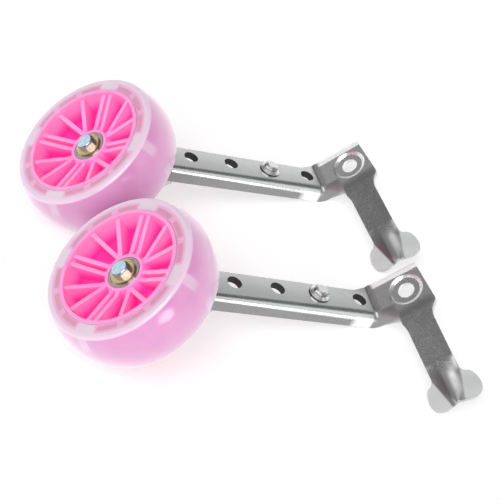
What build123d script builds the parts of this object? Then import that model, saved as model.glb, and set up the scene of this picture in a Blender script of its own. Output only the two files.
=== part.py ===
from build123d import *
import os
from math import asin, atan2, cos, degrees, radians, sin, sqrt, tan

os.makedirs("parts", exist_ok=True)

# A pair of bicycle training wheels, lying on the floor side by side. Both units
# are alike. Each is drawn once in its own unit frame (millimetres): the wheel's
# axis is Z, pointing out of the wheel's outer face, the wheel's middle is the
# origin, X runs from the wheel towards the axle plate, and Y is across the arm.

# ---- wheel ----------------------------------------------------------------
rim_half = 19.0  # half the width over the rim faces
rim_r = 39.7  # outside radius of the rim ring
rim_face_r = 37.4  # inside radius of the rim ring at its face
rim_deep_r = 36.4  # the same at the web
web_half = 2.0  # half the web's thickness
boss_half = 11.2  # half the hub boss's length
boss_top_r = 12.9
boss_foot_r = 16.4
boss_foot_fillet = 5.0
rim_foot_fillet = 4.0
rib_w = 2.8  # rib thickness
rib_rim_z = 16.8  # height of a rib's top edge at the rim
rib_hub_z = 10.6  # and at the hub
pair_gap = 5.3  # spacing of the two ribs of a pair
vee_deg = 14.4  # half angle of a rib vee at the rim
pattern_deg = 4.0  # turn of the whole pattern
flange_r = 45.2  # windowed flange inside the tyre
flange_z = 17.4
flange_t = 2.0
window_in_r = 40.7
window_out_r = 43.7
window_deg = 18.6  # length of a window
window_pitch = 24.7
flange_gap_deg = 18.0  # clear gap between two flange arcs

tyre_half = 18.2
tyre_crown_r = 53.3
tyre_edge_r = 48.7
tyre_edge_fillet = 2.4

# ---- bearings (22 x 8 x 7) ------------------------------------------------
brg_out_r = 11.0
brg_bore_r = 4.0
brg_w = 7.0
brg_land_out_r = 9.05
brg_land_in_r = 6.1
ball_r = 1.985
ball_n = 7
pitch_r = 7.5
race_r = 2.185
shield_in_r = 6.5
shield_t = 0.4
shield_z = 2.8
cage_in_r = 7.0
cage_out_r = 8.0
cage_half = 2.55
pocket_r = 2.1
brg_z = boss_half - brg_w / 2

# ---- axle -----------------------------------------------------------------
axle_r = 3.0
axle_head_af = 10.0
axle_head_h = 4.0
axle_bore_r = 3.15  # bore of washers, bushing and standoff
washer_r = 8.2
washer_t = 1.6
bush_r = 3.95
bush_mid_r = 5.6
standoff_r = 5.75
lock_af = 10.0
lock_h = 6.0
lock_washer_r = 6.0
lock_washer_t = 1.2
axle_tail = 2.4

# ---- arm ------------------------------------------------------------------
sheet = 2.5  # sheet thickness of both pressings
splay = 51.5  # angle between the arm and the wheel's plane
arm_x = 38.9  # a point on the outer face of the bracket's arm
arm_z = -31.0
arm_start = -2.0  # start of the bracket along the arm from that point
arm_top = 8.2  # upper edge of the arm
roll_r = 4.5  # outer radius of the lower edge's turn into a flange, wheel end
roll_y = -11.2  # height at which the turn starts there
lip = 11.0  # depth of the flange's edge there
root_roll_r = 6.6  # the same three next to the axle plate
root_roll_y = -8.6
root_lip = 9.9
hole_s = (15.2, 45.9, 76.6, 107.3)  # holes along the arm
hole_r = 4.9
tab_z = -29.0  # outer face of the lower arm behind the wheel
tab_bend_r = 16.0
tab_end = -15.0
lower_end = 113.2  # end of the lower arm inside the bracket
lower_top = 8.0
lower_roll_r = 4.6  # turn and flange of the lower arm
lower_roll_y = -8.0
lower_lip = 9.0  # depth of its flange inside the bracket
tab_lip = 15.5  # and behind the wheel

# ---- axle plate, leg and fork ----------------------------------------------
plate_z = -121.6
plate_top = 13.1
plate_bend_r = 2.2
plate_edge_w = 3.2  # band along the plate's upper edge that rolls back
plate_edge_d = 1.4
plate_right_top = 147.6
plate_right_low = 150.4
axle_hole = (135.2, -4.4)
axle_hole_r = 5.5
dish_r = 12.3  # where the dish's rounded shoulder starts
dish_d = 1.6
dish_shoulder_r = 2.6
dish_foot_r = 0.8
leg_mid = 134.9
leg_half = 9.5
leg_bend_y = -16.0
leg_bend_r = 40.0
leg_deg = 11.0
leg_neck = 46.0  # along the leg from the end of its bend
leg_len = 67.0
saddle_start = 36.0  # where the flat leg starts to arch
saddle_full = 54.0  # where the lobes have their full fold
ridge_end = 4.0  # half width of the ridge at the leg's end
ear_deg = 28.0  # fold of each lobe
ear_tip = 18.0

# ---- height bolt ------------------------------------------------------------
hb_r = 3.0
hb_flange_r = 7.3
hb_flange_t = 0.9  # thickness of the flange's rim
hb_cone_r = 4.9  # the flange rises as a cone to the hexagon
hb_cone_h = 2.2
hb_af = 8.6
hb_head_h = 5.0
hb_top_r = 3.3  # flat of the head inside its chamfer
hn_af = 10.0
hn_h = 6.4
hn_flange_r = 7.1
hb_tail = 3.0

# ---- how the two units lie ----------------------------------------------------
# Each rests on the inner shoulder of its tyre, on the edge of the flange next to
# the axle plate and on a lobe of its saddle. +X runs along the pair, +Z is up, the
# floor is Z = 0.
lie_x = (0.7252, 0.3688, 0.5815)  # a unit's own X axis
lie_z = (-0.5544, -0.1882, 0.8107)  # a unit's own Z axis, the wheel's axis
front_spot = (-62.14, -69.98, 42.86)  # middle of the front wheel
back_shift = (-48.9, 97.0, 0.0)  # from the front wheel to the back wheel
back_turn = 2.1  # the back unit's small turn about the vertical

# directions in the unit frame
ca, sa = cos(radians(splay)), sin(radians(splay))
along = Vector(ca, 0, -sa)  # along the arm, wheel to plate
out = Vector(sa, 0, ca)  # out of the arm's outer face
corner_s = (arm_z - plate_z) / sa  # where arm and plate faces would meet
bend_t = plate_bend_r * tan(radians(splay / 2))
corner_x = arm_x + corner_s * ca


def arm_point(s, depth=0.0):
    """Point on the arm's outer face, s along it, sunk by depth."""
    return Vector(arm_x, 0, arm_z) + along * s - out * depth


def section_plane(s):
    """Cross-section of the arm: x is depth, y is across."""
    return Plane(origin=arm_point(s), x_dir=out * -1, z_dir=along)


def channel(top, depth, start, r, edge):
    """Outline of a channel section: a web sunk by depth, turned back at the height
    start with the outer radius r, and a flange that ends at the depth edge."""
    k = sqrt(0.5)
    ri = r - sheet
    cx = depth + r
    Line((depth, top), (depth, start))
    ThreePointArc((depth, start), (cx - r * k, start - r * k), (cx, start - r))
    Line((cx, start - r), (edge, start - r))
    Line((edge, start - r), (edge, start - ri))
    Line((edge, start - ri), (cx, start - ri))
    ThreePointArc(
        (cx, start - ri), (cx - ri * k, start - ri * k), (depth + sheet, start)
    )
    Line((depth + sheet, start), (depth + sheet, top))
    Line((depth + sheet, top), (depth, top))


# ---- wheel core: hub, web, ribs, rim and the windowed flanges ----------------
with BuildPart() as core:
    # straight ribs on both sides of the web: four parallel pairs, four vees
    with BuildSketch(Plane.XY):
        for q in range(4):
            turn = 45 + 90 * q + pattern_deg
            with Locations(Rotation(0, 0, turn)):
                for side in (-1, 1):
                    with Locations((24.85, side * pair_gap / 2)):
                        Rectangle(26.5, rib_w)
            for side in (-1, 1):
                a0 = radians(90 * q + pattern_deg)
                a1 = radians(90 * q + pattern_deg + side * vee_deg)
                p0 = Vector(12.2 * cos(a0), 12.2 * sin(a0))
                p1 = Vector(38.2 * cos(a1), 38.2 * sin(a1))
                mid = (p0 + p1) * 0.5
                d = p1 - p0
                with Locations(Location((mid.X, mid.Y), degrees(atan2(d.Y, d.X)))):
                    Rectangle(d.length, rib_w)
    extrude(amount=18.0, both=True)
    # rib tops fall from the rim to the hub
    with BuildSketch(Plane.XZ):
        for side in (-1, 1):
            with BuildLine():
                Polyline(
                    (10.0, side * rib_hub_z),
                    (16.0, side * rib_hub_z),
                    (rim_deep_r, side * rib_rim_z),
                    (42.0, side * rib_rim_z),
                    (42.0, side * 18.5),
                    (10.0, side * 18.5),
                    close=True,
                )
            make_face()
    revolve(axis=Axis.Z, mode=Mode.SUBTRACT)
    # hub, web and rim
    with BuildSketch(Plane.XZ) as core_profile:
        with BuildLine():
            Polyline(
                (brg_out_r, boss_half),
                (boss_top_r, boss_half),
                (boss_foot_r, web_half),
                (rim_deep_r, web_half),
                (rim_face_r, rim_half),
                (rim_r, rim_half),
                (rim_r, -rim_half),
                (rim_face_r, -rim_half),
                (rim_deep_r, -web_half),
                (boss_foot_r, -web_half),
                (boss_top_r, -boss_half),
                (brg_out_r, -boss_half),
                (brg_out_r, -boss_half + brg_w),
                (9.3, -boss_half + brg_w),
                (9.3, boss_half - brg_w),
                (brg_out_r, boss_half - brg_w),
                close=True,
            )
        make_face()
        rim_corners = core_profile.vertices().filter_by(
            lambda v: abs(abs(v.Z) - rim_half) < 0.01 and abs(v.X - rim_face_r) < 0.01
        )
        fillet(rim_corners, radius=0.9)
        boss_corners = core_profile.vertices().filter_by(
            lambda v: abs(abs(v.Z) - boss_half) < 0.01 and abs(v.X - boss_top_r) < 0.01
        )
        fillet(boss_corners, radius=0.9)
        boss_feet = core_profile.vertices().filter_by(
            lambda v: abs(abs(v.Z) - web_half) < 0.01 and abs(v.X - boss_foot_r) < 0.01
        )
        fillet(boss_feet, radius=boss_foot_fillet)
        rim_feet = core_profile.vertices().filter_by(
            lambda v: abs(abs(v.Z) - web_half) < 0.01 and abs(v.X - rim_deep_r) < 0.01
        )
        fillet(rim_feet, radius=rim_foot_fillet)
    revolve(axis=Axis.Z)
    # windowed flanges that key the tyre: three windows in each of four arcs
    with BuildSketch(mode=Mode.PRIVATE) as wedges:
        for q in range(4):
            for k in (-1, 0, 1):
                mid = 90 * q + pattern_deg + k * window_pitch
                lo, hi = radians(mid - window_deg / 2), radians(mid + window_deg / 2)
                Polygon(
                    (38 * cos(lo), 38 * sin(lo)),
                    (47 * cos(lo), 47 * sin(lo)),
                    (47 * cos(hi), 47 * sin(hi)),
                    (38 * cos(hi), 38 * sin(hi)),
                    align=None,
                )
    with BuildSketch(mode=Mode.PRIVATE) as windows:
        Circle(window_out_r)
        Circle(window_in_r, mode=Mode.SUBTRACT)
        add(wedges.sketch, mode=Mode.INTERSECT)
    with BuildSketch(mode=Mode.PRIVATE) as flange:
        Circle(flange_r)
        Circle(rim_r - 0.4, mode=Mode.SUBTRACT)
        add(windows.sketch, mode=Mode.SUBTRACT)
        for q in range(4):
            mid = 45 + 90 * q + pattern_deg
            lo = radians(mid - flange_gap_deg / 2)
            hi = radians(mid + flange_gap_deg / 2)
            Polygon(
                (38 * cos(lo), 38 * sin(lo)),
                (50 * cos(lo), 50 * sin(lo)),
                (50 * cos(hi), 50 * sin(hi)),
                (38 * cos(hi), 38 * sin(hi)),
                align=None,
                mode=Mode.SUBTRACT,
            )
    for level in (flange_z - flange_t, -flange_z):
        with BuildSketch(Plane.XY.offset(level)):
            add(flange.sketch)
        extrude(amount=flange_t)

# ---- tyre: cast round the core ----------------------------------------------
with BuildPart() as tyre:
    with BuildSketch(Plane.XZ) as tyre_profile:
        with BuildLine():
            Line((rim_r, -tyre_half), (tyre_edge_r, -tyre_half))
            ThreePointArc(
                (tyre_edge_r, -tyre_half), (tyre_crown_r, 0), (tyre_edge_r, tyre_half)
            )
            Line((tyre_edge_r, tyre_half), (rim_r, tyre_half))
            Line((rim_r, tyre_half), (rim_r, -tyre_half))
        make_face()
        edge_corners = tyre_profile.vertices().filter_by(
            lambda v: abs(v.X - tyre_edge_r) < 0.01
        )
        fillet(edge_corners, radius=tyre_edge_fillet)
    revolve(axis=Axis.Z)
    add(core.part, mode=Mode.SUBTRACT)

# ---- ball bearing at the middle height z = 0, moved to its two seats ----------
with BuildPart() as brg_outer:
    with BuildSketch(Plane.XZ):
        with Locations(((brg_land_out_r + brg_out_r) / 2, 0)):
            Rectangle(brg_out_r - brg_land_out_r, brg_w)
        with Locations((pitch_r, 0)):
            Circle(race_r, mode=Mode.SUBTRACT)
    revolve(axis=Axis.Z)
    corners = brg_outer.edges().filter_by(GeomType.CIRCLE).filter_by(
        lambda e: abs(e.radius - brg_out_r) < 0.01
    )
    chamfer(corners, length=0.35)

with BuildPart() as brg_inner:
    with BuildSketch(Plane.XZ):
        with Locations(((brg_bore_r + brg_land_in_r) / 2, 0)):
            Rectangle(brg_land_in_r - brg_bore_r, brg_w)
        with Locations((pitch_r, 0)):
            Circle(race_r, mode=Mode.SUBTRACT)
    revolve(axis=Axis.Z)
    bore_edges = brg_inner.edges().filter_by(GeomType.CIRCLE).filter_by(
        lambda e: abs(e.radius - brg_bore_r) < 0.01
    )
    chamfer(bore_edges, length=0.3)

with BuildPart() as brg_balls:
    with PolarLocations(pitch_r, ball_n):
        Sphere(ball_r)

with BuildPart() as brg_cage:
    with BuildSketch(Plane.XZ):
        with Locations(((cage_in_r + cage_out_r) / 2, 0)):
            Rectangle(cage_out_r - cage_in_r, 2 * cage_half)
    revolve(axis=Axis.Z)
    with PolarLocations(pitch_r, ball_n):
        Cylinder(pocket_r, 3.0, rotation=(0, 90, 0), mode=Mode.SUBTRACT)

with BuildPart() as brg_shield:
    with BuildSketch(Plane.XY.offset(shield_z)):
        Circle(brg_land_out_r)
        Circle(shield_in_r, mode=Mode.SUBTRACT)
    extrude(amount=shield_t)

# ---- axle pieces --------------------------------------------------------------
washer_top = boss_half + washer_t
lock_face = tab_z - sheet  # inner face of the lower arm's tab
nut_face = lock_face - lock_washer_t
with BuildPart() as axle_bolt:
    with BuildSketch(Plane.XY.offset(washer_top)):
        RegularPolygon(axle_head_af / 2, 6, major_radius=False, rotation=21)
    extrude(amount=axle_head_h)
    # corners of the head are turned off to a cone
    with BuildSketch(Plane.XZ):
        with BuildLine():
            Polyline(
                (axle_head_af / 2 * 0.95, washer_top + axle_head_h),
                (axle_head_af / 2 * 0.95 + 2.6, washer_top + axle_head_h - 1.5),
                (axle_head_af / 2 * 0.95 + 2.6, washer_top + axle_head_h + 1),
                (axle_head_af / 2 * 0.95, washer_top + axle_head_h + 1),
                close=True,
            )
        make_face()
    revolve(axis=Axis.Z, mode=Mode.SUBTRACT)
    with BuildSketch(Plane.XY.offset(washer_top)):
        Circle(axle_r)
    extrude(amount=-(washer_top - (nut_face - lock_h - axle_tail)))
    tail_edge = axle_bolt.edges().group_by(Axis.Z)[0]
    chamfer(tail_edge, length=0.6)

with BuildPart() as axle_washer:
    with BuildSketch(Plane.XY.offset(boss_half)):
        Circle(washer_r)
        Circle(axle_bore_r, mode=Mode.SUBTRACT)
    extrude(amount=washer_t)
    washer_edge = axle_washer.edges().filter_by(GeomType.CIRCLE).filter_by(
        lambda e: abs(e.radius - washer_r) < 0.01
    )
    fillet(washer_edge, radius=0.35)

with BuildPart() as bushing:
    with BuildSketch(Plane.XZ):
        with BuildLine():
            Polyline(
                (axle_bore_r, boss_half),
                (bush_r, boss_half),
                (bush_r, boss_half - brg_w),
                (bush_mid_r, boss_half - brg_w),
                (bush_mid_r, -boss_half + brg_w),
                (bush_r, -boss_half + brg_w),
                (bush_r, -boss_half),
                (axle_bore_r, -boss_half),
                close=True,
            )
        make_face()
    revolve(axis=Axis.Z)

with BuildPart() as standoff:
    with BuildSketch(Plane.XY.offset(tab_z)):
        Circle(standoff_r)
        Circle(axle_bore_r, mode=Mode.SUBTRACT)
    extrude(amount=-boss_half - tab_z)

with BuildPart() as lock_washer:
    with BuildSketch(Plane.XY.offset(nut_face)):
        Circle(lock_washer_r)
        Circle(axle_bore_r, mode=Mode.SUBTRACT)
    extrude(amount=lock_washer_t)

with BuildPart() as lock_nut:
    with BuildSketch(Plane.XY.offset(nut_face)):
        RegularPolygon(lock_af / 2, 6, major_radius=False)
    extrude(amount=-lock_h * 0.72)
    with BuildSketch(Plane.XY.offset(nut_face - lock_h * 0.72)):
        Circle(lock_af / 2 * 0.94)
    extrude(amount=-lock_h * 0.28)
    with BuildSketch(Plane.XY.offset(nut_face)):
        Circle(axle_r + 0.05)
    extrude(amount=-lock_h, mode=Mode.SUBTRACT)
    collar = lock_nut.edges().group_by(Axis.Z)[0].sort_by(SortBy.RADIUS)[-1]
    fillet(collar, radius=0.9)

# ---- lower arm: nested in the bracket, then flat behind the wheel --------------
# The bend is an arc about an axis on the inner side; the tab runs back past the axle.
low_line = arm_point(0, sheet)  # a point on its outer face, on the arm
turn_t = tab_bend_r * tan(radians(splay / 2))
turn_s = (low_line.Z - tab_z) / sa  # corner along the arm
turn_x = low_line.X + turn_s * ca
with BuildPart() as lower_arm:
    # straight length inside the bracket
    with BuildSketch(section_plane(turn_s + turn_t)):
        with BuildLine():
            channel(lower_top, sheet, lower_roll_y, lower_roll_r, lower_lip)
        make_face()
    extrude(amount=lower_end - turn_s - turn_t)
    # bend and tab
    tab_plane = Plane(
        origin=(turn_x - turn_t, 0, tab_z + sheet), x_dir=(0, 0, -1), z_dir=(1, 0, 0)
    )
    with BuildSketch(tab_plane, mode=Mode.PRIVATE) as tab_section:
        with BuildLine():
            channel(lower_top, sheet, lower_roll_y, lower_roll_r, tab_lip)
        make_face()
    revolve(
        tab_section.sketch,
        axis=Axis((turn_x - turn_t, 0, tab_z - tab_bend_r), (0, 1, 0)),
        revolution_arc=splay,
    )
    extrude(tab_section.sketch, amount=-(turn_x - turn_t - tab_end))
    # rounded end of the tab, seen along the axle
    with BuildSketch(Plane.XY.offset(tab_z + 2)):
        with BuildLine():
            Polyline(
                (tab_end - 2, lower_top + 2),
                (tab_end + 13, lower_top + 2),
                (tab_end + 10, lower_top),
                (tab_end + 2.5, lower_top - 4.5),
                (tab_end, lower_top - 11),
                (tab_end + 1.5, -9.0),
                (tab_end + 5.5, -13.6),
                (tab_end - 2, -13.6),
                close=True,
            )
        make_face()
    extrude(amount=-22, mode=Mode.SUBTRACT)
    # axle hole, and a row of holes on the bracket's pitch
    with BuildSketch(Plane.XY.offset(tab_z + 1)):
        Circle(axle_bore_r)
    extrude(amount=-6, mode=Mode.SUBTRACT)
    with BuildSketch(Plane(origin=arm_point(0), x_dir=along, z_dir=out)):
        with Locations(*[(s, 0) for s in hole_s]):
            Circle(hole_r)
    extrude(amount=-8, mode=Mode.SUBTRACT)
    # the corner of its upper end is clipped
    with BuildSketch(Plane(origin=arm_point(0), x_dir=along, z_dir=out)):
        with Locations((lower_end, lower_top)):
            Rectangle(4, 4, rotation=45)
    extrude(amount=-8, mode=Mode.SUBTRACT)

# ---- height bolt and nut --------------------------------------------------------
hb_plane = Plane(origin=arm_point(hole_s[2]), x_dir=along, z_dir=out)
hb_back = Plane(origin=arm_point(hole_s[2], 2 * sheet), x_dir=along, z_dir=out * -1)
hb_axis = Axis(arm_point(hole_s[2]), out)
hb_side = Plane(origin=arm_point(hole_s[2]), x_dir=along, z_dir=(0, -1, 0))
with BuildPart() as height_bolt:
    with BuildSketch(hb_plane):
        RegularPolygon(hb_af / 2, 6, major_radius=False, rotation=10)
    extrude(amount=hb_head_h)
    # corners of the head are turned off to a cone
    with BuildSketch(hb_side):
        with BuildLine():
            Polyline(
                (hb_top_r, hb_head_h),
                (hb_top_r + 3.0, hb_head_h - 1.8),
                (hb_top_r + 3.0, hb_head_h + 1),
                (hb_top_r, hb_head_h + 1),
                close=True,
            )
        make_face()
    revolve(axis=hb_axis, mode=Mode.SUBTRACT)
    with BuildSketch(hb_side):
        with BuildLine():
            Polyline(
                (0, 0),
                (hb_flange_r - 0.2, 0),
                (hb_flange_r, 0.2),
                (hb_flange_r, hb_flange_t - 0.3),
                (hb_flange_r - 0.5, hb_flange_t),
                (hb_cone_r, hb_cone_h),
                (0, hb_cone_h),
                close=True,
            )
        make_face()
    revolve(axis=hb_axis)
    with BuildSketch(hb_plane):
        Circle(hb_r)
    extrude(amount=-(2 * sheet + hn_h + hb_tail))

with BuildPart() as height_nut:
    with BuildSketch(hb_back):
        Circle(hn_flange_r)
    extrude(amount=1.6, taper=14)
    with BuildSketch(hb_back):
        RegularPolygon(hn_af / 2, 6, major_radius=False, rotation=20)
    extrude(amount=hn_h)
    # corners of the nut are turned off to a cone
    with BuildSketch(Plane(origin=hb_back.origin, x_dir=along, z_dir=(0, -1, 0))):
        with BuildLine():
            Polyline(
                (hn_af / 2 * 0.95, -hn_h),
                (hn_af / 2 * 0.95 + 2.6, -hn_h + 1.5),
                (hn_af / 2 * 0.95 + 2.6, -hn_h - 1),
                (hn_af / 2 * 0.95, -hn_h - 1),
                close=True,
            )
        make_face()
    revolve(axis=hb_axis, mode=Mode.SUBTRACT)
    with BuildSketch(hb_back):
        Circle(hb_r + 0.05)
    extrude(amount=hn_h, mode=Mode.SUBTRACT)

# ---- saddle at the leg's end: two lobes folded back from a rounded ridge ---------
lb = radians(leg_deg)
leg_dir = Vector(0, -cos(lb), -sin(lb))
leg_out = Vector(0, -sin(lb), cos(lb))
leg_root = Vector(
    leg_mid,
    leg_bend_y - leg_bend_r * sin(lb),
    plate_z - leg_bend_r * (1 - cos(lb)),
)


def leg_point(u, l):
    return leg_root + Vector(1, 0, 0) * u + leg_dir * l


def saddle_shape(l):
    """Half width of the ridge and fold angle of the lobes, l along the leg."""
    k = min(max((l - saddle_start) / (saddle_full - saddle_start), 0), 1)
    w = leg_half + (ridge_end - leg_half) * max(l - leg_neck, 0) / (leg_len - leg_neck)
    return w, radians(ear_deg) * k * k * (3 - 2 * k)


with BuildPart() as saddle:
    for l in (saddle_start, 42.0, leg_neck, 50.0, saddle_full, 61.0, leg_len + 3):
        w, g = saddle_shape(l)
        plane = Plane(origin=leg_point(0, l), x_dir=(1, 0, 0), z_dir=leg_dir)
        with BuildSketch(plane):
            with BuildLine():
                d = w * tan(g / 2)
                wi, di = w - sheet * sin(g), d + sheet * cos(g)
                e = d + (24 - w) * tan(g)
                ei = di + (24 - wi) * tan(g)
                arch = [(k / 4, 1 - (k / 4) ** 2) for k in range(-4, 5)]
                Line((-24, -e), (-w, -d))
                Spline(
                    *[(w * k, d * (h - 1)) for k, h in arch],
                    tangents=((cos(g), sin(g)), (cos(g), -sin(g))),
                )
                Line((w, -d), (24, -e))
                Line((24, -e), (24, -ei))
                Line((24, -ei), (wi, -di))
                Spline(
                    *[(-wi * k, -sheet + (di - sheet) * (h - 1)) for k, h in arch],
                    tangents=((-cos(g), sin(g)), (-cos(g), -sin(g))),
                )
                Line((-wi, -di), (-24, -ei))
                Line((-24, -ei), (-24, -e))
            make_face()
    loft()
    # outline of the leg's end and the lobes, seen square on
    with BuildSketch(
        Plane(origin=leg_point(0, 0) + leg_out * 6, x_dir=(1, 0, 0), z_dir=leg_out)
    ):
        with BuildLine():
            lobe = (
                (leg_half, -leg_neck),
                (leg_half + 1.5, -leg_neck - 2.9),
                (leg_half + 4.3, -leg_neck - 3.9),
                (ear_tip - 1.3, -leg_neck - 7.5),
                (ear_tip - 0.5, -leg_neck - 12.4),
                (ear_tip - 2.1, -leg_neck - 17.4),
                (ear_tip - 5.4, -leg_neck - 19.8),
                (ridge_end + 4.2, -leg_len - 0.1),
            )
            right_lobe = Spline(
                *lobe, tangents=((0.05, -1.0), (-1.0, -0.02)), tangent_scalars=(0.7, 1.0)
            )
            bottom = Line(right_lobe @ 1, (-ridge_end - 4.2, -leg_len - 0.1))
            left_lobe = Spline(
                *[(-x, y) for x, y in lobe],
                tangents=((-0.05, -1.0), (1.0, -0.02)),
                tangent_scalars=(0.7, 1.0),
            )
            Line(left_lobe @ 0, (-leg_half, -saddle_start))
            Line((-leg_half, -saddle_start), (leg_half, -saddle_start))
            Line((leg_half, -saddle_start), right_lobe @ 0)
        make_face()
    extrude(amount=-40, mode=Mode.INTERSECT)

# ---- bracket: arm, axle plate, leg and fork in one pressing ----------------------
with BuildPart() as bracket:
    # plate and leg: side profile drawn across, trimmed to the outline
    with BuildSketch(
        Plane(origin=(124.0, 0, plate_z), x_dir=(0, 0, -1), z_dir=(1, 0, 0))
    ):
        with BuildLine():
            r0, r1 = leg_bend_r, leg_bend_r - sheet
            c = Vector(leg_bend_r, leg_bend_y)
            h = lb / 2
            o1 = (c.X - r0 * cos(lb), c.Y - r0 * sin(lb))
            i1 = (c.X - r1 * cos(lb), c.Y - r1 * sin(lb))
            tip = Vector(sin(lb), -cos(lb)) * saddle_start
            Line((0, plate_top), (0, leg_bend_y))
            ThreePointArc(
                (0, leg_bend_y), (c.X - r0 * cos(h), c.Y - r0 * sin(h)), o1
            )
            Line(o1, (o1[0] + tip.X, o1[1] + tip.Y))
            Line((o1[0] + tip.X, o1[1] + tip.Y), (i1[0] + tip.X, i1[1] + tip.Y))
            Line((i1[0] + tip.X, i1[1] + tip.Y), i1)
            ThreePointArc(
                i1, (c.X - r1 * cos(h), c.Y - r1 * sin(h)), (sheet, leg_bend_y)
            )
            Line((sheet, leg_bend_y), (sheet, plate_top))
            Line((sheet, plate_top), (0, plate_top))
        make_face()
    extrude(amount=30)
    with BuildSketch(Plane.XY.offset(plate_z + 5)) as outline:
        with BuildLine():
            right = leg_mid + leg_half
            left = leg_mid - leg_half
            Line((123.0, plate_top + 1), (plate_right_top, plate_top + 1))
            Line((plate_right_top, plate_top + 1), (plate_right_low, -20.6))
            ThreePointArc(
                (plate_right_low, -20.6), (plate_right_low - 0.7, -22.6), (148.6, -23.9)
            )
            ThreePointArc((148.6, -23.9), (145.4, -28.0), (right, -33.4))
            Line((right, -33.4), (right, -80.0))
            Line((right, -80.0), (left, -80.0))
            Line((left, -80.0), (left, -34.5))
            ThreePointArc((left, -34.5), (left - 1.0, -29.0), (123.0, -25.6))
            Line((123.0, -25.6), (123.0, plate_top + 1))
        make_face()
    extrude(amount=-60, mode=Mode.INTERSECT)
    add(saddle.part)
    # arm with its flange, full height up to the plate
    with BuildSketch(section_plane(arm_start), mode=Mode.PRIVATE) as arm_section:
        with BuildLine():
            channel(plate_top, 0, roll_y, roll_r, lip)
        make_face()
    with BuildSketch(
        section_plane(corner_s - bend_t), mode=Mode.PRIVATE
    ) as bend_section:
        with BuildLine():
            channel(plate_top, 0, root_roll_y, root_roll_r, root_lip)
        make_face()
    loft([arm_section.sketch, bend_section.sketch], ruled=True)
    # bend from the arm to the plate
    bend_axis = arm_point(corner_s - bend_t) + out * plate_bend_r
    revolve(
        bend_section.sketch,
        axis=Axis(bend_axis, (0, -1, 0)),
        revolution_arc=splay,
    )
    # the flange opens out into the root of the leg
    with BuildSketch(
        Plane(origin=(corner_x + bend_t, 0, plate_z), x_dir=(0, 0, -1), z_dir=(1, 0, 0)),
        mode=Mode.PRIVATE,
    ) as roll_end:
        with BuildLine():
            channel(plate_top, 0, root_roll_y, root_roll_r, root_lip)
        make_face()
    with BuildSketch(
        Plane(origin=(124.0, 0, plate_z), x_dir=(0, 0, -1), z_dir=(1, 0, 0)),
        mode=Mode.PRIVATE,
    ) as leg_start:
        with BuildLine():
            toe = Vector(sin(lb), -cos(lb)) * 2.0
            Line((0, plate_top), (0, leg_bend_y))
            ThreePointArc(
                (0, leg_bend_y), (c.X - r0 * cos(h), c.Y - r0 * sin(h)), o1
            )
            Line(o1, (o1[0] + toe.X, o1[1] + toe.Y))
            Line((o1[0] + toe.X, o1[1] + toe.Y), (i1[0] + toe.X, i1[1] + toe.Y))
            Line((i1[0] + toe.X, i1[1] + toe.Y), i1)
            ThreePointArc(
                i1, (c.X - r1 * cos(h), c.Y - r1 * sin(h)), (sheet, leg_bend_y)
            )
            Line((sheet, leg_bend_y), (sheet, plate_top))
            Line((sheet, plate_top), (0, plate_top))
        make_face()
    loft([roll_end.sketch, leg_start.sketch])
    # upper edge of the arm steps down from the plate's edge
    with BuildSketch(
        Plane(origin=arm_point(0), x_dir=along, z_dir=out)
    ):
        with BuildLine():
            Polyline(
                (-5, arm_top),
                (103.0, arm_top),
                (106.5, arm_top + 0.4),
                (corner_s - 0.5, plate_top - 0.9),
                (corner_s + 1.6, plate_top),
                (corner_s + 1.6, plate_top + 3),
                (-5, plate_top + 3),
                close=True,
            )
        make_face()
    extrude(amount=6, both=True, mode=Mode.SUBTRACT)
    # four holes in the arm
    with BuildSketch(Plane(origin=arm_point(0), x_dir=along, z_dir=out)):
        with Locations(*[(s, 0) for s in hole_s]):
            Circle(hole_r)
    extrude(amount=6, both=True, mode=Mode.SUBTRACT)
    # rounded upper edge of the plate, running out at the bend
    edge_cuts = []
    for x, w, d in (
        (corner_x + bend_t + 0.3, 0.2, 0.1),
        (119.0, plate_edge_w, plate_edge_d),
        (153.0, plate_edge_w, plate_edge_d),
    ):
        with BuildSketch(
            Plane(origin=(x, 0, plate_z), x_dir=(0, 0, -1), z_dir=(1, 0, 0)),
            mode=Mode.PRIVATE,
        ) as edge_cut:
            with BuildLine():
                r = (w * w + d * d) / (2 * d)
                q = asin(w / r) / 2
                Line((-0.5, plate_top - w), (0, plate_top - w))
                ThreePointArc(
                    (0, plate_top - w),
                    (r * (1 - cos(q)), plate_top - w + r * sin(q)),
                    (d, plate_top),
                )
                Line((d, plate_top), (d, plate_top + 0.5))
                Line((d, plate_top + 0.5), (-0.5, plate_top + 0.5))
                Line((-0.5, plate_top + 0.5), (-0.5, plate_top - w))
            make_face()
        edge_cuts.append(edge_cut.sketch)
    loft(edge_cuts, ruled=True, mode=Mode.SUBTRACT)
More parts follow.
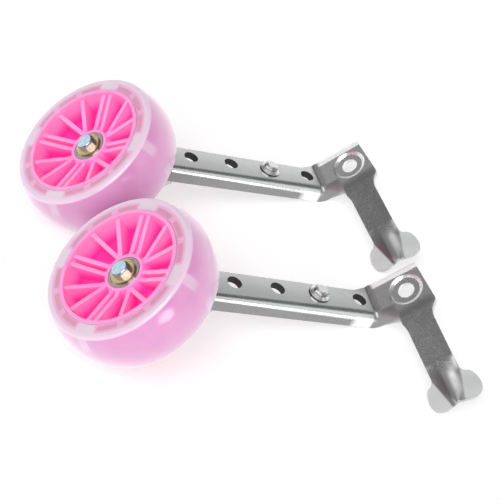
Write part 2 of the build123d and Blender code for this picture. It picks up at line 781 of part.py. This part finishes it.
    # dished axle hole: boss on the back, hollow with a rounded shoulder in front
    dish_plane = Plane(
        origin=(axle_hole[0], axle_hole[1], plate_z), x_dir=(1, 0, 0), z_dir=(0, -1, 0)
    )
    for grow, lift, top, how in (
        (1.0, -sheet - 0.05, -sheet + 0.4, Mode.ADD),
        (0.0, 0.05, 0.6, Mode.SUBTRACT),
    ):
        with BuildSketch(dish_plane, mode=Mode.PRIVATE) as dish_section:
            with BuildLine():
                k = sqrt(0.5)
                x0, q = dish_r + grow, radians(22.5)
                x1, y1 = x0 - dish_shoulder_r * k, lift - dish_shoulder_r * (1 - k)
                y2 = lift - dish_d + dish_foot_r * (1 - k)
                x2 = x1 - (y1 - y2)
                x3 = x2 - dish_foot_r * k
                Line((0, top), (x0, top))
                Line((x0, top), (x0, lift))
                ThreePointArc(
                    (x0, lift),
                    (x0 - dish_shoulder_r * sin(q), lift - dish_shoulder_r * (1 - cos(q))),
                    (x1, y1),
                )
                Line((x1, y1), (x2, y2))
                ThreePointArc(
                    (x2, y2),
                    (x3 + dish_foot_r * sin(q), lift - dish_d + dish_foot_r * (1 - cos(q))),
                    (x3, lift - dish_d),
                )
                Line((x3, lift - dish_d), (0, lift - dish_d))
                Line((0, lift - dish_d), (0, top))
            make_face()
        revolve(
            dish_section.sketch,
            axis=Axis((axle_hole[0], axle_hole[1], plate_z), (0, 0, 1)),
            mode=how,
        )
    with BuildSketch(Plane.XY.offset(plate_z + 1)):
        with Locations(axle_hole):
            Circle(axle_hole_r)
    extrude(amount=-12, mode=Mode.SUBTRACT)


# ---- the two units as they lie on the floor --------------------------------------
front_stand = Plane(origin=front_spot, x_dir=lie_x, z_dir=lie_z)
back_stand = Plane(
    origin=Vector(*front_spot) + Vector(*back_shift),
    x_dir=Vector(*lie_x).rotate(Axis.Z, back_turn),
    z_dir=Vector(*lie_z).rotate(Axis.Z, back_turn),
)
for unit, stand in (("front", front_stand), ("back", back_stand)):
    spot = stand.location
    for name, piece in (
        ("bracket", bracket),
        ("lower_arm", lower_arm),
        ("height_bolt", height_bolt),
        ("height_nut", height_nut),
        ("axle_bolt", axle_bolt),
        ("axle_washer", axle_washer),
        ("bearing_bushing", bushing),
        ("axle_standoff", standoff),
        ("lock_washer", lock_washer),
        ("lock_nut", lock_nut),
        ("wheel_core", core),
        ("tyre", tyre),
    ):
        with BuildPart() as placed:
            add(piece.part.moved(spot))
        placed.part.label = f"{unit}_{name}"
        export_step(placed.part, f"parts/{unit}_{name}.step")
    for seat, height, flip in (("outer", brg_z, 0), ("inner", -brg_z, 180)):
        place = spot * Location((0, 0, height), (flip, 0, 0))
        turned = spot * Location((0, 0, height), (flip + 180, 0, 0))
        for name, piece, where in (
            ("inner_ring", brg_inner, place),
            ("outer_ring", brg_outer, place),
            ("balls", brg_balls, place),
            ("cage", brg_cage, place),
            ("outer_shield", brg_shield, place),
            ("inner_shield", brg_shield, turned),
        ):
            with BuildPart() as placed:
                add(piece.part.moved(where))
            placed.part.label = f"{unit}_{seat}_bearing_{name}"
            export_step(placed.part, f"parts/{unit}_{seat}_bearing_{name}.step")
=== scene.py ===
import math

import bpy
from mathutils import Matrix, Vector


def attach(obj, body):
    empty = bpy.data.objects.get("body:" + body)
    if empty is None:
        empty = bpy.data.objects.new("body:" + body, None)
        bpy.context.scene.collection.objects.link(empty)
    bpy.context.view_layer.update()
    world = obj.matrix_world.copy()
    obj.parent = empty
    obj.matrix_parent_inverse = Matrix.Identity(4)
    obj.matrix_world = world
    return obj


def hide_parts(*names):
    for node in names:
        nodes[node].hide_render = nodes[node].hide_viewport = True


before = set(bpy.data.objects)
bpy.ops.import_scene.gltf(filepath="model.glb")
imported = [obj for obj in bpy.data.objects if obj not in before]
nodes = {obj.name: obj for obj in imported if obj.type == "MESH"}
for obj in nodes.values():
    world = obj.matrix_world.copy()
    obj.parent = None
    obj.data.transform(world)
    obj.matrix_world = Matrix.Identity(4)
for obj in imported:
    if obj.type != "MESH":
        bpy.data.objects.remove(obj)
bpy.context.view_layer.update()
scene = bpy.context.scene

# ---------------------------------------------------------------- unit frames
# A unit's own frame, in millimetres: the wheel's middle is the origin, Z is the
# wheel's axis, X runs to the axle plate.
LIE_Z = Vector((-0.5544, -0.1882, 0.8107)).normalized()
LIE_X = Vector((0.7252, 0.3688, 0.5815))
LIE_X = (LIE_X - LIE_X.dot(LIE_Z) * LIE_Z).normalized()
LIE_Y = LIE_Z.cross(LIE_X)
SPOT = {
    "front": (Vector((-0.06214, -0.06998, 0.04286)), 0.0),
    "back": (Vector((-0.06214 - 0.0489, -0.06998 + 0.0970, 0.04286)), 2.1),
}
UNIT = {}
for unit, (spot, turn) in SPOT.items():
    m = Matrix((LIE_X, LIE_Y, LIE_Z)).transposed().to_4x4()
    m = Matrix.Rotation(math.radians(turn), 4, "Z") @ m
    m.translation = spot
    UNIT[unit] = m @ Matrix.Scale(0.001, 4)


# ---------------------------------------------------------------- small helpers
def mesh_object(name, verts, faces, matrix, smooth=True):
    me = bpy.data.meshes.new(name)
    me.from_pydata([matrix @ Vector(v) for v in verts], [], faces)
    me.update()
    if smooth:
        me.polygons.foreach_set("use_smooth", [True] * len(me.polygons))
    ob = bpy.data.objects.new(name, me)
    scene.collection.objects.link(ob)
    return ob


def lathe(profile, n):
    """Closed ring from a closed (r, z) profile."""
    verts, faces = [], []
    k = len(profile)
    for i in range(n):
        a = 2 * math.pi * i / n
        for r, z in profile:
            verts.append((r * math.cos(a), r * math.sin(a), z))
    for i in range(n):
        j = (i + 1) % n
        for p in range(k):
            q = (p + 1) % k
            faces.append((i * k + p, j * k + p, j * k + q, i * k + q))
    return verts, faces


def arc(cx, cy, r, a0, a1, n):
    return [
        (
            cx + r * math.cos(a0 + (a1 - a0) * i / n),
            cy + r * math.sin(a0 + (a1 - a0) * i / n),
        )
        for i in range(n + 1)
    ]


def new_material(name):
    mat = bpy.data.materials.new(name)
    mat.use_nodes = True
    nt = mat.node_tree
    bsdf = nt.nodes["Principled BSDF"]
    return mat, nt, bsdf


def node(nt, kind, **kw):
    n = nt.nodes.new(kind)
    for k, v in kw.items():
        setattr(n, k, v)
    return n


def unit_coords(nt, unit):
    """Position in a unit's own frame, in millimetres."""
    inv = UNIT[unit].inverted()
    tc = node(nt, "ShaderNodeTexCoord")
    mp = node(nt, "ShaderNodeMapping", vector_type="POINT")
    loc, rot, sc = inv.decompose()
    mp.inputs["Location"].default_value = loc
    mp.inputs["Rotation"].default_value = rot.to_euler("XYZ")
    mp.inputs["Scale"].default_value = sc
    nt.links.new(tc.outputs["Object"], mp.inputs["Vector"])
    return mp.outputs["Vector"]


def scaled(nt, vec, sx, sy, sz):
    vm = node(nt, "ShaderNodeVectorMath", operation="MULTIPLY")
    vm.inputs[1].default_value = (sx, sy, sz)
    nt.links.new(vec, vm.inputs[0])
    return vm.outputs["Vector"]


def noise(nt, vec, scale, detail=3.0, rough=0.55):
    n = node(nt, "ShaderNodeTexNoise")
    n.inputs["Scale"].default_value = scale
    n.inputs["Detail"].default_value = detail
    n.inputs["Roughness"].default_value = rough
    nt.links.new(vec, n.inputs["Vector"])
    return n.outputs["Fac"]


def remap(nt, val, a, b, c, d, smooth=False):
    m = node(nt, "ShaderNodeMapRange")
    if smooth:
        m.interpolation_type = "SMOOTHSTEP"
    m.inputs["From Min"].default_value = a
    m.inputs["From Max"].default_value = b
    m.inputs["To Min"].default_value = c
    m.inputs["To Max"].default_value = d
    nt.links.new(val, m.inputs["Value"])
    return m.outputs["Result"]


def math_node(nt, op, a, b):
    m = node(nt, "ShaderNodeMath", operation=op)
    for i, v in enumerate((a, b)):
        if isinstance(v, (int, float)):
            m.inputs[i].default_value = v
        else:
            nt.links.new(v, m.inputs[i])
    return m.outputs[0]


def mix_color(nt, fac, a, b):
    m = node(nt, "ShaderNodeMix", data_type="RGBA")
    ins = [s for s in m.inputs if s.enabled or True]
    fac_in = m.inputs[0]
    ca, cb = m.inputs[6], m.inputs[7]
    nt.links.new(fac, fac_in)
    for s, v in ((ca, a), (cb, b)):
        if isinstance(v, tuple):
            s.default_value = v + (1.0,)
        else:
            nt.links.new(v, s)
    return m.outputs[2]


def bump(nt, bsdf, height, strength, distance, edge=0.0):
    b = node(nt, "ShaderNodeBump")
    b.inputs["Strength"].default_value = strength
    b.inputs["Distance"].default_value = distance
    nt.links.new(height, b.inputs["Height"])
    if edge:
        r = node(nt, "ShaderNodeBevel", samples=6)
        r.inputs["Radius"].default_value = edge
        nt.links.new(r.outputs["Normal"], b.inputs["Normal"])
    nt.links.new(b.outputs["Normal"], bsdf.inputs["Normal"])


def dress(name, mat):
    ob = nodes[name]
    if not ob.material_slots:
        ob.data.materials.append(mat)
    for s in ob.material_slots:
        s.material = mat


# ---------------------------------------------------------------- materials
SPLAY = math.radians(51.5)
ALONG = (math.cos(SPLAY), 0.0, -math.sin(SPLAY))
ARM = (38.9, 0.0, -31.0)


def along_arm(nt, v):
    """How far along the arm a point is, and how far it is from the nearest hole's axis."""
    d = node(nt, "ShaderNodeVectorMath", operation="DOT_PRODUCT")
    nt.links.new(v, d.inputs[0])
    d.inputs[1].default_value = ALONG
    s = math_node(nt, "SUBTRACT", d.outputs["Value"], ARM[0] * ALONG[0] + ARM[2] * ALONG[2])
    sep = node(nt, "ShaderNodeSeparateXYZ")
    nt.links.new(v, sep.inputs[0])
    k = math_node(nt, "SUBTRACT", s, 15.2 - 15.35)
    k = math_node(nt, "SUBTRACT", math_node(nt, "FLOORED_MODULO", k, 30.7), 15.35)
    y = sep.outputs["Y"]
    q = math_node(nt, "ADD", math_node(nt, "MULTIPLY", k, k), math_node(nt, "MULTIPLY", y, y))
    return s, math_node(nt, "SQRT", q, 0.0)


def zinc_sheet(name, unit, tone):
    mat, nt, b = new_material(name)
    v = unit_coords(nt, unit)
    s, d = along_arm(nt, v)
    cloud = noise(nt, v, 0.045, 4.0, 0.6)
    grain = noise(nt, scaled(nt, v, 0.25, 5.0, 0.25), 1.0, 3.0, 0.6)
    speck = noise(nt, v, 0.5, 2.0, 0.5)
    f = math_node(nt, "ADD", remap(nt, cloud, 0.3, 0.7, 0.0, 0.7), remap(nt, grain, 0.3, 0.7, 0.0, 0.3))
    col = mix_color(
        nt, f, tuple(c * 0.95 for c in tone), tuple(min(1.0, c * 1.05) for c in tone)
    )
    # the sheared walls of the arm's holes carry painted shade: near-black, and dull
    on_arm = math_node(
        nt,
        "MULTIPLY",
        math_node(nt, "LESS_THAN", s, 116.0),
        math_node(nt, "GREATER_THAN", s, -3.0),
    )
    hole_wall_shade = math_node(nt, "MULTIPLY", remap(nt, d, 4.92, 4.97, 1.0, 0.0), on_arm)
    # painted shade: the outer side of the turned flange is painted darker, up to the bend
    sep = node(nt, "ShaderNodeSeparateXYZ")
    nt.links.new(v, sep.inputs[0])
    low = math_node(nt, "SUBTRACT", sep.outputs["Y"], math_node(nt, "MULTIPLY", s, 0.0043))
    flange = math_node(
        nt,
        "MULTIPLY",
        remap(nt, low, -15.55, -15.25, 0.54, 0.0, True),
        remap(nt, s, 97.0, 105.0, 1.0, 0.0, True),
    )
    col = mix_color(nt, flange, col, (0.02, 0.02, 0.02))
    # painted highlight: a white band along the turn beside it, towards the plate
    turn_highlight = math_node(
        nt,
        "MULTIPLY",
        remap(nt, low, -14.6, -13.6, 1.0, 0.0, True),
        math_node(
            nt,
            "MULTIPLY",
            remap(nt, s, 98.0, 104.0, 0.0, 1.0, True),
            remap(nt, s, 113.5, 116.0, 1.0, 0.0, True),
        ),
    )
    col = mix_color(nt, turn_highlight, col, (0.97, 0.97, 0.97))
    # painted shade where the flange opens into the leg: darker there, and duller
    root = math_node(
        nt,
        "MULTIPLY",
        remap(nt, sep.outputs["Y"], -12.2, -9.4, 0.6, 0.0, True),
        math_node(
            nt,
            "MULTIPLY",
            remap(nt, s, 114.0, 116.0, 0.0, 1.0, True),
            remap(nt, s, 123.0, 125.5, 1.0, 0.0, True),
        ),
    )
    col = mix_color(nt, root, col, (0.05, 0.05, 0.05))
    # painted shade in the walls of the holes
    col = mix_color(nt, hole_wall_shade, col, (0.018, 0.018, 0.02))
    # painted highlights: the plate is painted brighter above the leg, and white along its rolled upper edge
    y = sep.outputs["Y"]
    on_plate = remap(nt, s, 117.5, 119.5, 0.0, 1.0, True)
    plate_highlight = math_node(nt, "MULTIPLY", remap(nt, y, -20.5, -15.0, 0.0, 1.0, True), on_plate)
    plate_highlight = math_node(nt, "MULTIPLY", plate_highlight, remap(nt, root, 0.0, 0.25, 1.0, 0.0))
    col = mix_color(nt, plate_highlight, col, (0.90, 0.90, 0.90))
    edge = math_node(nt, "MULTIPLY", remap(nt, y, 7.4, 8.6, 0.0, 1.0, True), on_plate)
    col = mix_color(nt, edge, col, (0.95, 0.95, 0.95))
    # the saddle's two lobes are matt, bounded by the ridge between them
    ridge = remap(nt, sep.outputs["Y"], -68.8, -89.4, 9.5, 4.0)
    side = math_node(nt, "ABSOLUTE", math_node(nt, "SUBTRACT", sep.outputs["X"], 134.9), 0.0)
    lobe = math_node(
        nt,
        "MULTIPLY",
        remap(nt, math_node(nt, "SUBTRACT", side, ridge), -0.3, 1.2, 0.0, 1.0, True),
        remap(nt, sep.outputs["Y"], -62.0, -66.0, 0.0, 1.0, True),
    )
    lobe = math_node(nt, "MULTIPLY", lobe, math_node(nt, "GREATER_THAN", s, 122.0))
    # painted shade: the fold of the saddle is painted darker
    fold_shade = math_node(
        nt,
        "MULTIPLY",
        remap(nt, y, -56.0, -76.0, 0.0, 1.0, True),
        math_node(nt, "GREATER_THAN", s, 122.0),
    )
    col = mix_color(nt, fold_shade, col, (0.50, 0.50, 0.50))
    # painted shade: the left side of the fold is painted near-black
    flank_shade = math_node(
        nt,
        "MULTIPLY",
        remap(nt, math_node(nt, "SUBTRACT", sep.outputs["X"], 134.9), -3.5, -1.0, 0.85, 0.0, True),
        fold_shade,
    )
    col = mix_color(nt, flank_shade, col, (0.13, 0.14, 0.14))
    # painted highlight on the crown of the fold, and painted shade on its shoulder
    across = math_node(nt, "SUBTRACT", sep.outputs["X"], 134.9)
    crease_highlight = math_node(
        nt,
        "MULTIPLY",
        math_node(
            nt,
            "MULTIPLY",
            remap(nt, across, -0.5, 3.0, 0.0, 1.0, True),
            remap(nt, across, 4.5, 8.0, 1.0, 0.0, True),
        ),
        math_node(
            nt,
            "MULTIPLY",
            remap(nt, y, -66.0, -73.0, 0.0, 1.0, True),
            remap(nt, y, -78.0, -87.0, 1.0, 0.0, True),
        ),
    )
    crease_highlight = math_node(nt, "MULTIPLY", crease_highlight, math_node(nt, "GREATER_THAN", s, 122.0))
    col = mix_color(nt, crease_highlight, col, (0.95, 0.95, 0.95))
    # painted shade on the shoulder beside the crown
    crease_shoulder_shade = math_node(
        nt,
        "MULTIPLY",
        remap(nt, across, 3.5, 7.0, 0.0, 0.6, True),
        math_node(
            nt,
            "MULTIPLY",
            remap(nt, y, -59.0, -66.0, 0.0, 1.0, True),
            remap(nt, y, -70.0, -76.0, 1.0, 0.0, True),
        ),
    )
    crease_shoulder_shade = math_node(nt, "MULTIPLY", crease_shoulder_shade, math_node(nt, "GREATER_THAN", s, 122.0))
    col = mix_color(nt, crease_shoulder_shade, col, (0.10, 0.10, 0.10))
    col = mix_color(nt, lobe, col, (0.52, 0.53, 0.53))
    nt.links.new(col, b.inputs["Base Color"])
    dull = math_node(nt, "MAXIMUM", math_node(nt, "MULTIPLY", lobe, 0.95), math_node(nt, "MULTIPLY", fold_shade, 0.1))
    dull = math_node(nt, "MAXIMUM", dull, math_node(nt, "MULTIPLY", root, 0.5))
    dull = math_node(nt, "MAXIMUM", dull, math_node(nt, "MULTIPLY", edge, 0.75))
    metal = math_node(nt, "SUBTRACT", 1.0, math_node(nt, "MAXIMUM", hole_wall_shade, dull))
    nt.links.new(metal, b.inputs["Metallic"])
    r = math_node(
        nt,
        "ADD",
        remap(nt, cloud, 0.3, 0.7, 0.25, 0.30),
        remap(nt, speck, 0.35, 0.65, -0.01, 0.01),
    )
    r = math_node(nt, "ADD", r, math_node(nt, "MULTIPLY", math_node(nt, "MAXIMUM", hole_wall_shade, dull), 0.3))
    nt.links.new(r, b.inputs["Roughness"])
    h = math_node(
        nt,
        "ADD",
        math_node(nt, "MULTIPLY", grain, 0.12),
        math_node(nt, "MULTIPLY", noise(nt, v, 0.13, 2.0, 0.5), 1.0),
    )
    # the pressed web is very slightly crowned across its width
    crown = math_node(nt, "MULTIPLY", math_node(nt, "MULTIPLY", y, y), -0.085)
    crown = math_node(nt, "MULTIPLY", crown, on_arm)
    bump(nt, b, math_node(nt, "ADD", h, crown), 0.09, 0.0006, 0.0005)
    return mat


def bright_metal(name, unit, low, high, rough, fine=1.5, metallic=1.0):
    mat, nt, b = new_material(name)
    v = unit_coords(nt, unit)
    cloud = noise(nt, v, 0.35, 3.0, 0.6)
    speck = noise(nt, v, fine, 2.0, 0.5)
    col = mix_color(nt, remap(nt, cloud, 0.3, 0.7, 0.0, 1.0), low, high)
    nt.links.new(col, b.inputs["Base Color"])
    b.inputs["Metallic"].default_value = metallic
    nt.links.new(remap(nt, speck, 0.3, 0.7, rough * 0.8, rough * 1.25), b.inputs["Roughness"])
    bump(nt, b, speck, 0.04, 0.0002, 0.00025)
    return mat


def shade(mat, fac, color):
    """Lay a second colour over a material's own where fac is 1."""
    nt = mat.node_tree
    b = next(n for n in nt.nodes if n.type == "BSDF_PRINCIPLED")
    own = b.inputs["Base Color"].links[0].from_socket
    nt.links.new(mix_color(nt, fac, own, color), b.inputs["Base Color"])


def shade_height_bolt(mat, unit):
    """Painted shade on the flats of the head, and a painted contact shadow in a dark rim under the flange."""
    nt = mat.node_tree
    s, d = along_arm(nt, unit_coords(nt, unit))
    flats = math_node(
        nt,
        "MULTIPLY",
        remap(nt, d, 4.2, 4.3, 0.0, 0.75, True),
        remap(nt, d, 4.93, 5.0, 1.0, 0.0, True),
    )
    shade(mat, flats, (0.16, 0.16, 0.17))
    shade(mat, remap(nt, d, 7.0, 7.2, 0.0, 0.95, True), (0.02, 0.02, 0.02))


def shade_axle_bolt(mat, unit):
    """The flats of the head are painted darker and violet, a painted shade."""
    nt = mat.node_tree
    rad = node(nt, "ShaderNodeVectorMath", operation="LENGTH")
    nt.links.new(scaled(nt, unit_coords(nt, unit), 1, 1, 0), rad.inputs[0])
    shade(mat, remap(nt, rad.outputs["Value"], 4.9, 5.05, 0.0, 0.85, True), (0.42, 0.39, 0.56))


def pink_plastic(name, unit):
    mat, nt, b = new_material(name)
    v = unit_coords(nt, unit)
    cloud = noise(nt, v, 0.06, 3.0, 0.5)
    fine = noise(nt, v, 1.8, 3.0, 0.6)
    col = mix_color(
        nt, remap(nt, cloud, 0.3, 0.7, 0.0, 1.0), (0.97, 0.33, 0.67), (0.99, 0.37, 0.70)
    )
    # painted shade: the deep pockets are painted a darker, stronger pink
    sep = node(nt, "ShaderNodeSeparateXYZ")
    nt.links.new(v, sep.inputs[0])
    z = math_node(nt, "ABSOLUTE", sep.outputs["Z"], 0.0)
    col = mix_color(nt, remap(nt, z, 3.0, 12.5, 1.0, 0.0, True), col, (1.0, 0.055, 0.38))
    nt.links.new(col, b.inputs["Base Color"])
    nt.links.new(remap(nt, fine, 0.3, 0.7, 0.32, 0.44), b.inputs["Roughness"])
    b.inputs["IOR"].default_value = 1.49
    b.inputs["Subsurface Weight"].default_value = 0.3
    b.inputs["Subsurface Radius"].default_value = (1.0, 0.45, 0.8)
    b.inputs["Subsurface Scale"].default_value = 0.0025
    # painted light: the plastic glows pink, most of all in the deep pockets
    glow = mix_color(nt, remap(nt, z, 9.0, 17.0, 1.0, 0.0, True), (0.03, 0.01, 0.02), (0.25, 0.003, 0.07))
    nt.links.new(glow, b.inputs["Emission Color"])
    b.inputs["Emission Strength"].default_value = 1.0
    bump(nt, b, fine, 0.06, 0.0003, 0.0005)
    return mat


def urethane(name, unit):
    """Cast pink urethane; on the sides the core's flange shows through a thin skin,
    with windows in it in groups of three."""
    mat, nt, b = new_material(name)
    v = unit_coords(nt, unit)
    cloud = noise(nt, v, 0.05, 3.0, 0.5)
    fine = noise(nt, v, 0.8, 3.0, 0.6)
    sep = node(nt, "ShaderNodeSeparateXYZ")
    nt.links.new(v, sep.inputs[0])
    z = math_node(nt, "ABSOLUTE", sep.outputs["Z"], 0.0)
    rad = node(nt, "ShaderNodeVectorMath", operation="LENGTH")
    nt.links.new(scaled(nt, v, 1, 1, 0), rad.inputs[0])
    r = rad.outputs["Value"]
    turn = math_node(nt, "ARCTAN2", sep.outputs["Y"], sep.outputs["X"])
    turn = math_node(nt, "MULTIPLY", turn, 180 / math.pi)
    phi = math_node(nt, "FLOORED_MODULO", math_node(nt, "ADD", turn, 41.0), 90.0)
    phi = math_node(nt, "SUBTRACT", phi, 45.0)
    wide = math_node(nt, "ABSOLUTE", phi, 0.0)
    near = math_node(
        nt,
        "MINIMUM",
        wide,
        math_node(nt, "ABSOLUTE", math_node(nt, "SUBTRACT", wide, 24.7), 0.0),
    )
    window = math_node(nt, "MULTIPLY", remap(nt, near, 8.4, 10.2, 1, 0, True), remap(nt, r, 43.2, 44.3, 1, 0, True))
    window = math_node(nt, "MULTIPLY", window, remap(nt, r, 40.3, 41.2, 0, 1, True))
    flange = math_node(nt, "MULTIPLY", remap(nt, wide, 35, 37, 1, 0, True), remap(nt, r, 44.7, 46.0, 1, 0, True))
    outer = remap(nt, r, 44.9, 46.4, 0, 1, True)
    side = remap(nt, z, 16.2, 17.7, 0, 1, True)
    face = mix_color(nt, outer, (0.82, 0.70, 0.81), (0.87, 0.69, 0.85))
    face = mix_color(nt, flange, face, (0.90, 0.44, 0.70))
    face = mix_color(nt, window, face, (0.73, 0.30, 0.47))
    tread = mix_color(
        nt, remap(nt, cloud, 0.3, 0.7, 0.0, 1.0), (0.68, 0.29, 0.57), (0.74, 0.34, 0.62)
    )
    # clearer towards both shoulders, most of all over the gaps of the flange
    tread = mix_color(nt, remap(nt, z, 16.2, 18.6, 0.0, 1.0, True), tread, (0.92, 0.70, 0.87))
    streak = math_node(nt, "MULTIPLY", remap(nt, wide, 40.0, 42.5, 0.0, 0.6, True), remap(nt, z, 4.0, 12.0, 0, 1, True))
    tread = mix_color(nt, streak, tread, (0.76, 0.66, 0.77))
    col = mix_color(nt, side, tread, face)
    nt.links.new(col, b.inputs["Base Color"])
    nt.links.new(remap(nt, fine, 0.3, 0.7, 0.09, 0.16), b.inputs["Roughness"])
    b.inputs["IOR"].default_value = 1.48
    b.inputs["Transmission Weight"].default_value = 0.12
    b.inputs["Sheen Weight"].default_value = 1.0
    b.inputs["Sheen Roughness"].default_value = 0.52
    b.inputs["Sheen Tint"].default_value = (1.0, 0.93, 0.98, 1.0)
    b.inputs["Coat Weight"].default_value = 0.4
    b.inputs["Coat Roughness"].default_value = 0.08
    b.inputs["Subsurface Weight"].default_value = 0.6
    b.inputs["Subsurface Radius"].default_value = (1.0, 0.75, 0.9)
    b.inputs["Subsurface Scale"].default_value = 0.002
    bump(nt, b, cloud, 0.06, 0.0006)
    return mat


# ---------------------------------------------------------------- dress the units
CROWN_C, CROWN_R = 15.0, 38.3
TYRE_HALF = 18.2
FIL = 2.4


def tyre_profile():
    cz = TYRE_HALF - FIL
    cr = CROWN_C + math.sqrt((CROWN_R - FIL) ** 2 - cz**2)
    a = math.atan2(cz, cr - CROWN_C)
    pts = [(39.4, TYRE_HALF), (41.0, TYRE_HALF), (43.0, TYRE_HALF), (45.2, TYRE_HALF)]
    pts += arc(cr, cz, FIL, math.pi / 2, a, 8)
    pts += arc(CROWN_C, 0, CROWN_R, a, -a, 28)[1:-1]
    pts += arc(cr, -cz, FIL, -a, -math.pi / 2, 8)
    pts += [(45.2, -TYRE_HALF), (43.0, -TYRE_HALF), (41.0, -TYRE_HALF), (39.4, -TYRE_HALF)]
    pts += [(39.4, z) for z in (-12.0, -6.0, 0.0, 6.0, 12.0)]
    return pts[::-1]


for unit in ("front", "back"):
    root, wheel = "frames", f"{unit}_wheel"
    sheet = zinc_sheet(f"{unit}_zinc_sheet", unit, (0.66, 0.665, 0.67))
    arm = zinc_sheet(f"{unit}_zinc_arm", unit, (0.60, 0.605, 0.61))
    bolt = bright_metal(f"{unit}_zinc", unit, (0.68, 0.70, 0.72), (0.80, 0.81, 0.82), 0.16)
    white = bright_metal(
        f"{unit}_white_zinc", unit, (0.78, 0.78, 0.79), (0.88, 0.88, 0.88), 0.18, metallic=0.85
    )
    shade_height_bolt(white, unit)
    blue = bright_metal(f"{unit}_blue_zinc", unit, (0.44, 0.68, 0.84), (0.66, 0.84, 0.94), 0.14)
    shade_axle_bolt(blue, unit)
    gold = bright_metal(f"{unit}_yellow_zinc", unit, (0.78, 0.58, 0.29), (0.92, 0.76, 0.48), 0.30)
    ring = bright_metal(f"{unit}_bearing_steel", unit, (0.36, 0.34, 0.345), (0.46, 0.43, 0.435), 0.16)
    shield = bright_metal(f"{unit}_shield_steel", unit, (0.50, 0.49, 0.46), (0.60, 0.58, 0.55), 0.25)
    pink = pink_plastic(f"{unit}_pink_plastic", unit)
    clear = urethane(f"{unit}_urethane", unit)

    dress(f"{unit}_bracket", sheet)
    dress(f"{unit}_lower_arm", arm)
    dress(f"{unit}_height_bolt", white)
    for n in ("height_nut", "lock_nut", "lock_washer", "axle_standoff", "bearing_bushing"):
        dress(f"{unit}_{n}", bolt)
    dress(f"{unit}_axle_bolt", blue)
    dress(f"{unit}_axle_washer", gold)
    dress(f"{unit}_wheel_core", pink)
    for seat in ("outer", "inner"):
        for n in ("inner_ring", "outer_ring", "balls"):
            dress(f"{unit}_{seat}_bearing_{n}", ring)
        for n in ("cage", "outer_shield", "inner_shield"):
            dress(f"{unit}_{seat}_bearing_{n}", shield)

    verts, faces = lathe(tyre_profile(), 192)
    tyre = mesh_object(f"{unit}_cast_tyre", verts, faces, UNIT[unit])
    tyre.data.materials.append(clear)
    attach(tyre, wheel)
    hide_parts(f"{unit}_tyre")

# ---------------------------------------------------------------- floor
fl = bpy.data.meshes.new("floor")
fl.from_pydata([(-4, -4, 0), (4, -4, 0), (4, 4, 0), (-4, 4, 0)], [], [(0, 1, 2, 3)])
floor = bpy.data.objects.new("floor", fl)
scene.collection.objects.link(floor)
fm, fnt, fb = new_material("floor_white")
fb.inputs["Base Color"].default_value = (0.46, 0.46, 0.46, 1.0)
fb.inputs["Emission Color"].default_value = (1.0, 1.0, 1.0, 1.0)
fb.inputs["Emission Strength"].default_value = 0.58
fb.inputs["Roughness"].default_value = 0.85
fb.inputs["Specular IOR Level"].default_value = 0.1
fl.materials.append(fm)

# ---------------------------------------------------------------- studio light
world = bpy.data.worlds.new("studio")
scene.world = world
world.use_nodes = True
wt = world.node_tree
wt.nodes.clear()
tc = node(wt, "ShaderNodeTexCoord")
sep = node(wt, "ShaderNodeSeparateXYZ")
wt.links.new(tc.outputs["Generated"], sep.inputs[0])
ramp = node(wt, "ShaderNodeValToRGB")
stops = [
    (-90, 0.90),
    (0, 1.05),
    (10, 1.00),
    (18, 0.75),
    (27, 0.28),
    (47, 0.13),
    (56, 0.22),
    (66, 0.50),
    (90, 0.62),
]
els = ramp.color_ramp.elements
while len(els) > 1:
    els.remove(els[-1])
for i, (el, e) in enumerate(stops):
    pos = (math.sin(math.radians(el)) + 1) / 2
    s = els[0] if i == 0 else els.new(pos)
    s.position = pos
    s.color = (e, e, e, 1)
ramp.color_ramp.interpolation = "EASE"
wt.links.new(remap(wt, sep.outputs["Z"], -1, 1, 0, 1), ramp.inputs["Fac"])


def softbox(el, az, inner, outer, power):
    """Glow around one direction of the studio, in degrees."""
    d = Vector(
        (
            math.cos(math.radians(el)) * math.cos(math.radians(az)),
            math.cos(math.radians(el)) * math.sin(math.radians(az)),
            math.sin(math.radians(el)),
        )
    )
    dot = node(wt, "ShaderNodeVectorMath", operation="DOT_PRODUCT")
    wt.links.new(tc.outputs["Generated"], dot.inputs[0])
    dot.inputs[1].default_value = d
    return remap(
        wt,
        dot.outputs["Value"],
        math.cos(math.radians(outer)),
        math.cos(math.radians(inner)),
        0.0,
        power,
        smooth=True,
    )


total = None
for box in (
    (50, -88, 14, 28, 3.2),
    (60, -126, 10, 21, 5.6),
    (30, -8, 8, 20, 1.2),
    (8, -42, 6, 13, 7.0),
    (22, 72, 8, 24, 0.45),
    (14, 158, 5, 14, 0.5),
):
    g = softbox(*box)
    total = g if total is None else math_node(wt, "ADD", total, g)
rgb = node(wt, "ShaderNodeSeparateColor")
wt.links.new(ramp.outputs["Color"], rgb.inputs[0])
total = math_node(wt, "ADD", total, rgb.outputs[0])
bg = node(wt, "ShaderNodeBackground")
wt.links.new(total, bg.inputs["Strength"])
out = node(wt, "ShaderNodeOutputWorld")
wt.links.new(bg.outputs[0], out.inputs[0])

scene.view_settings.view_transform = "Standard"
scene.view_settings.look = "None"
scene.view_settings.exposure = 0.0
scene.view_settings.gamma = 1.0

# ---------------------------------------------------------------- camera
cam = bpy.data.cameras.new("camera")
cam.sensor_fit = "HORIZONTAL"
cam.sensor_width = 36.0
cam.lens = 36.0 * 1200.0 / 500.0
cam.clip_start = 0.01
cam.clip_end = 20.0
cam_ob = bpy.data.objects.new("camera", cam)
scene.collection.objects.link(cam_ob)
right = Vector((0.968209, 0.183022, 0.170511))
down = Vector((0.250142, -0.708473, -0.659921))
ahead = Vector((0.000023, 0.681593, -0.731731))
m = Matrix((right, -down, -ahead)).transposed().to_4x4()
m.translation = Vector((0.000901, -0.533794, 0.593848))
cam_ob.matrix_world = m
scene.camera = cam_ob
